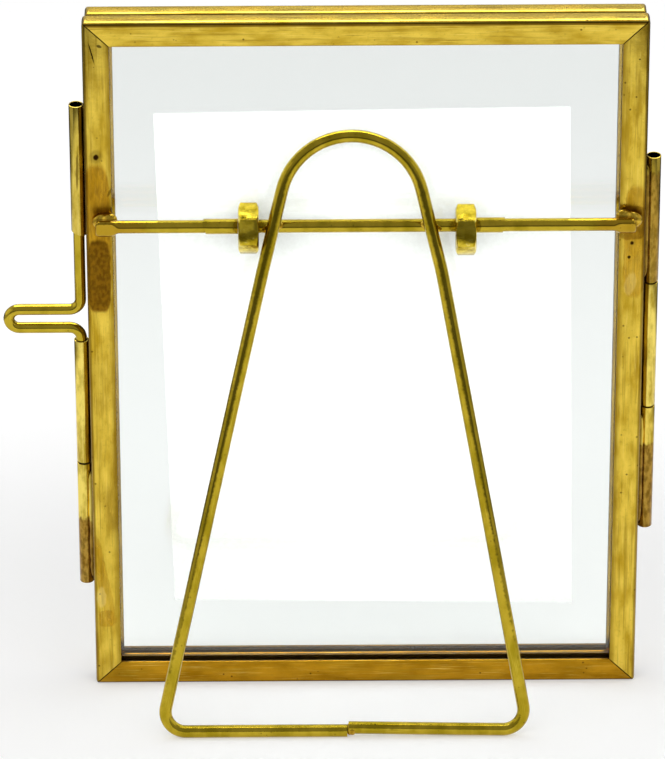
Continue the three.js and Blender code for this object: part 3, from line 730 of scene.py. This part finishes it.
def wire_brass(name, dark=0.0, warm=()):
    """Hard-drawn brass wire under a thin olive tarnish: darker and greener than the sheet, with fine
    drawing lines along it, rubbed bright in places and browned near its soldered joints."""
    material, tree, shader, leaf_mm = start_material(name)
    along = add(tree, "ShaderNodeAttribute", attribute_name="along").outputs["Fac"]
    around = add(tree, "ShaderNodeAttribute", attribute_name="around").outputs["Fac"]
    half_turn = ordered(tree, "ABSOLUTE", ordered(tree, "SUBTRACT", around, 0.5), 0)
    unrolled = add(
        tree,
        "ShaderNodeCombineXYZ",
        {0: ordered(tree, "MULTIPLY", along, 160.0), 1: ordered(tree, "MULTIPLY", half_turn, 26.0)},
    ).outputs[0]
    drawn = add(
        tree, "ShaderNodeTexNoise", {"Vector": unrolled, "Scale": 1.0, "Detail": 3.0}
    ).outputs[0]
    film = grain(tree, leaf_mm, (2.6, 2.6, 5.0), 4.0)
    colour = shade(
        tree, linear("#a08a18"), linear("#c0a630"), between(tree, film, 0.3 + dark, 0.7 + dark)
    )
    colour = shade(tree, colour, linear("#e6cf50"), between(tree, drawn, 0.55, 0.8, 0.0, 0.4))
    specks = add(
        tree, "ShaderNodeTexVoronoi", {"Vector": leaf_mm, "Scale": 0.8}
    ).outputs["Distance"]
    colour = shade(tree, colour, linear("#4b3709"), between(tree, specks, 0.14, 0.06, 0.0, 0.5))
    for centre, half, depth, turn in warm:
        share = mark(tree, leaf_mm, centre, half, 0.4, 1.5, 0.3, turn)
        colour = shade(tree, colour, linear("#a97c1e"), ordered(tree, "MULTIPLY", share, depth))
    dents = grain(tree, leaf_mm, (1.6, 1.6, 1.6), 2.0, shift=(2, 2, 9))
    height = ordered(
        tree,
        "ADD",
        ordered(tree, "MULTIPLY", dents, 0.035),
        ordered(tree, "MULTIPLY", drawn, 0.004),
    )
    bump = add(tree, "ShaderNodeBump", {"Height": height, "Distance": MM, "Strength": 1.0})
    tree.links.new(colour, shader.inputs["Base Color"])
    tree.links.new(between(tree, film, 0.3, 0.7, 0.17, 0.1), shader.inputs["Roughness"])
    tree.links.new(bump.outputs[0], shader.inputs["Normal"])
    shader.inputs["Metallic"].default_value = 1.0
    return material


PIVOT_UP = 85.45
PIVOT_BEHIND = 2.3957
SPINDLE_DIAMETER = 2.1
WIRE_DIAMETER = 2.0
WIRE_GAP = 0.05
EASEL_ACROSS = -2.2
OPEN_ANGLE = math.radians(16.4708)
ARCH_RADIUS = 11.1
ARCH_RISE = 14.6
SHOULDER_SPLAY = math.radians(13.5)
SHOULDER_DROP = 7.0
SHOULDER_BEND = 40.0
LEG_DROP = 80.864
FOOT_LEFT = 30.4
FOOT_RIGHT = 27.4
FOOT_BEND = 3.2
BUTT_ACROSS = -0.9
BUTT_GAP = 0.2
BUTT_STEP = 0.5
wire_behind = (SPINDLE_DIAMETER + WIRE_DIAMETER) / 2 + WIRE_GAP
easel_pivot = Vector(joints["easel_hinge"]["pos_m"])
# Easel millimetres: x across, y towards the front, z up the open easel, from the spindle's axis.
EASEL_TURN = leaf_turn @ Matrix.Rotation(-OPEN_ANGLE, 4, "X")
EASEL = Matrix.Translation(easel_pivot) @ EASEL_TURN
EASEL_MM = EASEL @ Matrix.Scale(MM, 4)
apex = ARCH_RISE - ARCH_RADIUS + ARCH_RADIUS / math.sin(SHOULDER_SPLAY)
shoulder = (apex + SHOULDER_DROP) * math.tan(SHOULDER_SPLAY)
easel_corners = [
    ((EASEL_ACROSS + x, -wire_behind, z), bend)
    for x, z, bend in (
        (BUTT_ACROSS - BUTT_GAP / 2, -LEG_DROP, 0),
        (-FOOT_LEFT, -LEG_DROP, FOOT_BEND),
        (-shoulder, -SHOULDER_DROP, SHOULDER_BEND),
        (0, apex, ARCH_RADIUS),
        (shoulder, -SHOULDER_DROP, SHOULDER_BEND),
        (FOOT_RIGHT, -LEG_DROP, FOOT_BEND),
        (BUTT_ACROSS + BUTT_GAP / 2, BUTT_STEP - LEG_DROP, 0),
    )
]
easel_brass = wire_brass("hard_drawn_easel_wire_brass")
easel_wire = bent_wire("easel_wire_bent", easel_corners, WIRE_DIAMETER, easel_brass, EASEL, 0.08, 3)
hand_over(easel_wire, "easel", "wire_brass", easel_brass, "easel_wire")

PIN_DIAMETER = 1.76
LOOP_RISE = 3.26
LOOP_REACH = 11.3
LOOP_BEND = 1.8
LOOP_UP = 64.55
LATCH_PIN_TOP = 92.61
LATCH_PIN_FOOT = 41.55
loop_turn = 0.499 * LOOP_RISE
latch_corners = [
    ((-TUBE_ACROSS + x, MEETING, z), bend)
    for x, z, bend in (
        (0, LATCH_PIN_TOP, 0),
        (0, LOOP_UP + LOOP_RISE, LOOP_BEND),
        (-LOOP_REACH, LOOP_UP + LOOP_RISE, loop_turn),
        (-LOOP_REACH, LOOP_UP, loop_turn),
        (0, LOOP_UP, LOOP_BEND),
        (0, LATCH_PIN_FOOT, 0),
    )
]
ROW_FROM_LEAF = Matrix.Translation(leaf_foot) @ leaf_turn
pin_brass = wire_brass("hard_drawn_pin_wire_brass", -0.08)
latch_pin = bent_wire("latch_pin_bent", latch_corners, PIN_DIAMETER, pin_brass, ROW_FROM_LEAF)
hand_over(latch_pin, "latch", "wire_brass", pin_brass, "latch_pin")

HINGE_PIN_FOOT = 29.0
HINGE_PIN_TOP = 93.5
hinge_line = [((TUBE_ACROSS, MEETING, z), 0) for z in (HINGE_PIN_FOOT, HINGE_PIN_TOP)]
hinge_pin = bent_wire("hinge_pin_cut", hinge_line, PIN_DIAMETER, pin_brass, ROW_FROM_LEAF)
hand_over(hinge_pin, "rear_leaf", "wire_brass", pin_brass, "hinge_pin")

# ---------------------------------------------------------------- the crossbar: rods, ferrules and nuts
# Two short rods with hammered-flat ends are soldered to the side rails. A ferrule joins each to a
# hexagon nut, and the easel's spindle turns in the nuts' plain bores.


def nut_brass(name):
    """A cut brass hexagon: yellow, semi-bright faces with small dents and rubbed, paler spots."""
    material, tree, shader, leaf_mm = start_material(name)
    clouds = grain(tree, leaf_mm, (1.6, 1.6, 1.6), 4.0)
    colour = shade(tree, linear("#a88f14"), linear("#dcc23a"), between(tree, clouds, 0.3, 0.65))
    spots = grain(tree, leaf_mm, (0.45, 0.45, 0.45), 3.0, shift=(4, 4, 4))
    colour = shade(tree, colour, linear("#f0e08a"), between(tree, spots, 0.6, 0.75, 0.0, 0.5))
    dents = grain(tree, leaf_mm, (0.9, 0.9, 0.9), 2.0, shift=(6, 1, 3))
    bump = add(
        tree,
        "ShaderNodeBump",
        {"Height": ordered(tree, "MULTIPLY", dents, 0.03), "Distance": MM, "Strength": 1.0},
    )
    tree.links.new(colour, shader.inputs["Base Color"])
    tree.links.new(between(tree, clouds, 0.3, 0.7, 0.2, 0.13), shader.inputs["Roughness"])
    tree.links.new(bump.outputs[0], shader.inputs["Normal"])
    shader.inputs["Metallic"].default_value = 1.0
    return material


ROD_DIAMETER = 2.05
ROD_END = 41.9
ROD_STATIONS = 90
SQUARING_FROM = 38.3
SQUARED_BY = 39.6
PADDLE_REAR = -0.75
PADDLE_FRONT = 2.25
PADDLE_HALF_WIDTH = 1.42
PADDLE_SKEW = 0.42
END_ROUND = 0.7


def crossbar_rod(name, side, start, squareness):
    """A round rod whose end is squared up and built out to the rail, in leaf millimetres."""
    shell = bmesh.new()
    along = shell.verts.layers.float.new("along")
    around = shell.verts.layers.float.new("around")
    rings = []
    for station in range(ROD_STATIONS + 1):
        x = start + (ROD_END - start) * (1 - (1 - station / ROD_STATIONS) ** 1.8)
        reach = min(max((x - SQUARING_FROM) / (SQUARED_BY - SQUARING_FROM), 0), 1)
        share = reach * reach * (3 - 2 * reach)
        closing = min((ROD_END - x) / END_ROUND, 1)
        shrink = 0.7 + 0.3 * math.sqrt(1 - (1 - closing) ** 2)
        power = 2 / (2 + squareness * share)
        radius = ROD_DIAMETER / 2
        deep = shrink * (radius + share * ((PADDLE_FRONT - PADDLE_REAR) / 2 - radius))
        high = shrink * (radius + share * (PADDLE_HALF_WIDTH - radius))
        middle = share * (PADDLE_FRONT + PADDLE_REAR) / 2
        ring = []
        for turn in range(LATHE_SIDES):
            angle = 2 * math.pi * turn / LATHE_SIDES
            y = middle + deep * math.copysign(abs(math.cos(angle)) ** power, math.cos(angle))
            z = high * math.copysign(abs(math.sin(angle)) ** power, math.sin(angle))
            z -= share * PADDLE_SKEW * (y - PADDLE_REAR)
            vert = shell.verts.new((side * x, y - PIVOT_BEHIND, PIVOT_UP + z))
            vert[along], vert[around] = x * MM, turn / LATHE_SIDES
            ring.append(vert)
        rings.append(ring)
    for here, beyond in zip(rings, rings[1:]):
        for turn in range(LATHE_SIDES):
            other = (turn + 1) % LATHE_SIDES
            shell.faces.new((here[turn], here[other], beyond[other], beyond[turn]))
    shell.faces.new(rings[0])
    shell.faces.new(rings[-1])
    return as_mesh(new_piece(name, shell))


FERRULE_OUTER = 2.4
FERRULE_BORE = 1.75
FERRULE_SLANT = 0.4
NUT_EASING = 0.42
rod_heat = [((-38.9, 85.4), (4.6, 2.6), 0.5, 0.0), ((39.5, 85.4), (3.8, 2.6), 0.5, 0.0)]
rod_brass = wire_brass("hard_drawn_rod_brass", -0.1, rod_heat)
ferrule_brass = wire_brass("drawn_ferrule_brass", -0.12)
finish = nut_brass("cut_hexagon_brass")
for side, name, near, far, squareness in (
    (-1, "left", 19.86, 25.0, 2.5), (1, "right", 17.11, 21.35, 0.6)
):
    rod_piece = crossbar_rod(f"crossbar_rod_{name}_drawn", side, far - 1.0, squareness)
    hand_over(rod_piece, "rear_leaf", "wire_brass", rod_brass, f"crossbar_rod_{name}")
    shell = bmesh.new()
    axis = Matrix.Translation(
        (side * near, -PIVOT_BEHIND, PIVOT_UP)
    ) @ Matrix.Rotation(side * math.pi / 2, 4, "Y")
    lathe(shell, tube_profile(FERRULE_BORE / 2, FERRULE_OUTER / 2, far - near), axis)
    for v in shell.verts:
        if abs(v.co.x) > (near + far) / 2:
            v.co.x += side * FERRULE_SLANT * (v.co.z - PIVOT_UP) / FERRULE_OUTER
    ferrule_piece = as_mesh(new_piece(f"ferrule_{name}_cut", shell))
    hand_over(ferrule_piece, "rear_leaf", "tube_brass", ferrule_brass, f"ferrule_{name}")
    nut_piece = dressed_copy(f"pivot_nut_{name}", NUT_EASING, 4)
    hand_over(nut_piece, "rear_leaf", "nut_brass", finish, f"pivot_nut_{name}")
spindle_piece = dressed_copy("easel_spindle", 0.1, 2)
hand_over(spindle_piece, "easel", "wire_brass", rod_brass, "easel_spindle")

# ---------------------------------------------------------------- solder
# Brass-coloured hard solder was run in with a torch: at the rods' ends on the rails, where the easel's
# legs cross the spindle, and at the butt in its foot. It sets in smooth, slightly slumped fillets.


def solder_blob(name, lumps, place, cell=0.11, smoothing=8):
    """Lumps, each (centre, half-sizes) in mm, run together into one smooth drop of solder."""
    shell = bmesh.new()
    for centre, half in lumps:
        size = Matrix.Diagonal((*half, 1.0))
        bmesh.ops.create_icosphere(
            shell, subdivisions=4, radius=1.0, matrix=Matrix.Translation(centre) @ size
        )
    mesh = bpy.data.meshes.new(name)
    shell.to_mesh(mesh)
    shell.free()
    piece = bpy.data.objects.new(name, mesh)
    bpy.context.scene.collection.objects.link(piece)
    fuse = piece.modifiers.new("run together", "REMESH")
    fuse.mode = "VOXEL"
    fuse.voxel_size = cell
    settle = piece.modifiers.new("settled", "SMOOTH")
    settle.factor = 0.6
    settle.iterations = smoothing
    made = as_mesh(piece)
    made.data.transform(place)
    return made


def solder_brass(name):
    """Hard solder: the wire's own yellow, glossy, clouded with a browner tone."""
    material, tree, shader, leaf_mm = start_material(name)
    clouds = grain(tree, leaf_mm, (0.8, 0.8, 0.8), 4.0)
    colour = shade(tree, linear("#a07a16"), linear("#d8b440"), between(tree, clouds, 0.3, 0.65))
    bump = add(
        tree,
        "ShaderNodeBump",
        {"Height": ordered(tree, "MULTIPLY", clouds, 0.03), "Distance": MM, "Strength": 1.0},
    )
    tree.links.new(colour, shader.inputs["Base Color"])
    tree.links.new(between(tree, clouds, 0.3, 0.7, 0.3, 0.2), shader.inputs["Roughness"])
    tree.links.new(bump.outputs[0], shader.inputs["Normal"])
    shader.inputs["Metallic"].default_value = 1.0
    return material


hard_solder = solder_brass("hard_brass_solder")
LEFT_END = [((-40.6, -0.5, 85.3), (1.9, 0.75, 1.5)), ((-39.7, -0.9, 85.9), (1.2, 0.9, 1.1))]
RIGHT_END = [((40.9, -0.7, 85.3), (2.1, 1.0, 1.6)), ((40.0, -1.0, 86.1), (1.3, 0.9, 1.2))]
for side, lumps in (("left", LEFT_END), ("right", RIGHT_END)):
    blob = solder_blob(f"crossbar_solder_{side}", lumps, LEAF, smoothing=24)
    hand_over(blob, "rear_leaf", "wire_brass", hard_solder)

leg_at = apex * math.tan(SHOULDER_SPLAY)
for side, name in ((-1, "left"), (1, "right")):
    x = EASEL_ACROSS + side * leg_at
    lumps = [
        ((x, -1.25, 0), (1.15, 0.85, 0.8)),
        ((x - side * 0.9, -1.0, 0.35), (0.8, 0.55, 0.6)),
        ((x + side * 0.9, -1.0, -0.35), (0.8, 0.55, 0.6)),
    ]
    blob = solder_blob(f"spindle_solder_{name}", lumps, EASEL_MM)
    hand_over(blob, "easel", "wire_brass", hard_solder)

butt = EASEL_ACROSS + BUTT_ACROSS
lumps = [
    ((butt + 0.25, -wire_behind, -LEG_DROP + 0.25), (0.5, 0.98, 0.98)),
    ((butt + 0.7, -wire_behind - 0.35, -LEG_DROP + 0.1), (0.6, 0.8, 0.75)),
]
blob = solder_blob("foot_solder", lumps, EASEL_MM)
hand_over(blob, "easel", "wire_brass", hard_solder)

# ---------------------------------------------------------------- the studio
# A pale table under a large soft overhead light, with a soft card at each side. The table glows with painted
# light, and the metal sees it painted darker away from the frame. The cards and the lights are seen only in the
# metal.

CAMERA_PLACE = (-0.006271, -1.001904, 0.322412)
CAMERA_TURN = (74.9995, 0.2197, -0.4346)
CAMERA_SENSOR = 36.0
CAMERA_LENS = 311.786

camera = bpy.data.objects.new("camera", bpy.data.cameras.new("camera"))
bpy.context.scene.collection.objects.link(camera)
bpy.context.scene.camera = camera
camera_turn = Euler([math.radians(turn) for turn in CAMERA_TURN])
camera.matrix_world = Matrix.LocRotScale(Vector(CAMERA_PLACE), camera_turn, None)
camera.data.sensor_fit = "VERTICAL"
camera.data.sensor_height = CAMERA_SENSOR
camera.data.lens = CAMERA_LENS

TABLE_HALF = 6.0
# How far the table stays bright and how dark it turns in the metal's reflections (painted reflection), and how
# much it glows for camera, glass and metal rays (painted light).
TABLE_BRIGHT_TO = 0.16
TABLE_DARK_FROM = 0.3
TABLE_FALL = 0.85
TABLE_LIFT_SEEN = (0.2, 0.46)
TABLE_LIFT_THROUGH_GLASS = (0.37, 0.27)
TABLE_LIFT_MIRRORED = 0.27
table_mesh = bpy.data.meshes.new("table")
corners = [
    (-TABLE_HALF, -TABLE_HALF, 0),
    (TABLE_HALF, -TABLE_HALF, 0),
    (TABLE_HALF, TABLE_HALF, 0),
    (-TABLE_HALF, TABLE_HALF, 0),
]
table_mesh.from_pydata(corners, [], [(0, 1, 2, 3)])
table = bpy.data.objects.new("table", table_mesh)
bpy.context.scene.collection.objects.link(table)
paper = bpy.data.materials.new("table_paper_with_painted_glow")
paper.use_nodes = True
tree = paper.node_tree
tree.nodes.clear()
ray = add(tree, "ShaderNodeLightPath")
spot = add(tree, "ShaderNodeTexCoord").outputs["Object"]
away = add(tree, "ShaderNodeVectorMath", {0: spot}, operation="LENGTH").outputs["Value"]
# Painted reflection: seen from the metal, the table darkens away from the frame.
fading = between(tree, away, TABLE_BRIGHT_TO, TABLE_DARK_FROM, 0.0, TABLE_FALL)
mirrored = ordered(
    tree, "SUBTRACT", ray.outputs["Is Glossy Ray"], ray.outputs["Is Transmission Ray"]
)
share = ordered(tree, "MULTIPLY", fading, mirrored)
matt = add(
    tree,
    "ShaderNodeBsdfDiffuse",
    {"Color": shade(tree, linear("#ebebeb"), linear("#000000"), share)},
)
# Painted light: the table glows for camera rays and for rays through the glass, more the further it lies from the
# frame, and glows for the metal's rays near the frame.
near_share = ordered(tree, "MULTIPLY", mirrored, ordered(tree, "SUBTRACT", TABLE_FALL, fading))
lifts = (
    (ray.outputs["Is Camera Ray"], between(tree, away, 0.03, 0.25, *TABLE_LIFT_SEEN)),
    (ray.outputs["Is Transmission Ray"], between(tree, away, 0.1, 0.5, *TABLE_LIFT_THROUGH_GLASS)),
    (near_share, TABLE_LIFT_MIRRORED),
)
strength = 0.0
for share, lift in lifts:
    strength = add(
        tree, "ShaderNodeMath", {0: share, 1: lift, 2: strength}, operation="MULTIPLY_ADD"
    ).outputs[0]
glow = add(tree, "ShaderNodeEmission", {"Strength": strength})
both = add(tree, "ShaderNodeAddShader", {0: matt.outputs[0], 1: glow.outputs[0]})
add(tree, "ShaderNodeOutputMaterial", {"Surface": both.outputs[0]})
table_mesh.materials.append(paper)

world = bpy.data.worlds.new("studio")
bpy.context.scene.world = world
world.use_nodes = True
tree = world.node_tree
tree.nodes.clear()
ray = add(tree, "ShaderNodeLightPath")
behind = add(
    tree, "ShaderNodeSeparateXYZ", {0: add(tree, "ShaderNodeTexCoord").outputs["Generated"]}
).outputs[1]
room = add(
    tree,
    "ShaderNodeBackground",
    {"Color": linear("#ffffff"), "Strength": between(tree, behind, -0.5, 0.0, 0.38, 0.6)},
)
backdrop = add(tree, "ShaderNodeBackground", {"Color": linear("#ffffff"), "Strength": 1.0})
pick = add(
    tree,
    "ShaderNodeMixShader",
    {0: ray.outputs["Is Camera Ray"], 1: room.outputs[0], 2: backdrop.outputs[0]},
)
add(tree, "ShaderNodeOutputWorld", {"Surface": pick.outputs[0]})


def softbox(name, place, aim, wide, tall, radiance):
    """A soft light of a given brightness, aimed at a point."""
    data = bpy.data.lights.new(name, "AREA")
    data.shape = "RECTANGLE"
    data.size, data.size_y = wide, tall
    data.energy = math.pi * radiance * wide * tall
    lamp = bpy.data.objects.new(name, data)
    bpy.context.scene.collection.objects.link(lamp)
    lamp.location = place
    lamp.rotation_euler = (Vector(aim) - Vector(place)).to_track_quat("-Z", "Y").to_euler()
    lamp.visible_camera = False
    return lamp


overhead = softbox("overhead", (0, 0.16, 0.65), (0, 0.0, 0.05), 0.7, 0.5, 4.5)
overhead.visible_diffuse = False
softbox("left card", (-0.24, -0.05, 0.1), (0, 0, 0.06), 0.26, 0.2, 0.4)
softbox("right card", (0.24, -0.05, 0.1), (0, 0, 0.06), 0.26, 0.2, 0.4)
fill = softbox("fill", (0, -1.1, 0.45), (0, 0, 0.06), 2.2, 1.0, 2.6)
fill.visible_glossy = False
bpy.context.scene.view_settings.view_transform = "Standard"
